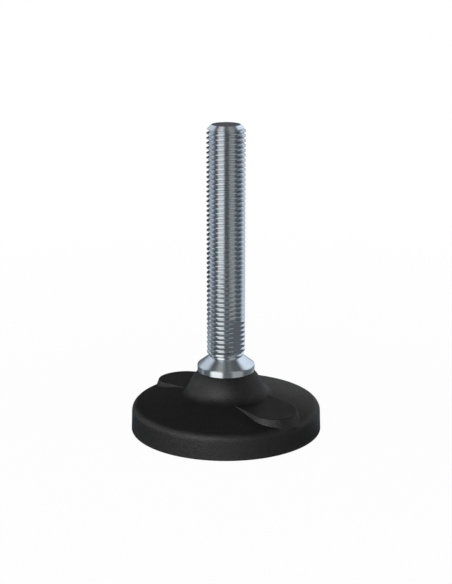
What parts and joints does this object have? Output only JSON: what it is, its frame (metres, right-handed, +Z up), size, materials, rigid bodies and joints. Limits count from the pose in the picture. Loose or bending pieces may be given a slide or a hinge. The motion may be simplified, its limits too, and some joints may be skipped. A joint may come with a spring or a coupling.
{
  "type": "machine foot",
  "caption": "Levelling foot with a round ribbed plastic base, lugs for fixing to the floor, and a threaded steel spindle held in a ball joint.",
  "frame": {"origin": "centre of the base where it stands on the floor", "axes": "+Z up along the spindle, +X towards one of the two lugs"},
  "size_m": [0.08, 0.08, 0.1289],
  "materials": {
    "black_polyamide": "fine matt grain of moulded glass-filled polyamide",
    "zinc_plated_steel": "turned and threaded steel with bright bluish zinc plating"
  },
  "bodies": {
    "foot": {"base": "black_polyamide"},
    "stem": {"spindle": "zinc_plated_steel"}
  },
  "joints": [
    {"name": "spindle_tilt", "type": "hinge", "parent": "foot", "child": "stem", "pos_m": [0, 0, 0.013], "axis": [0, 1, 0], "range_deg": [-10, 10]}
  ]
}
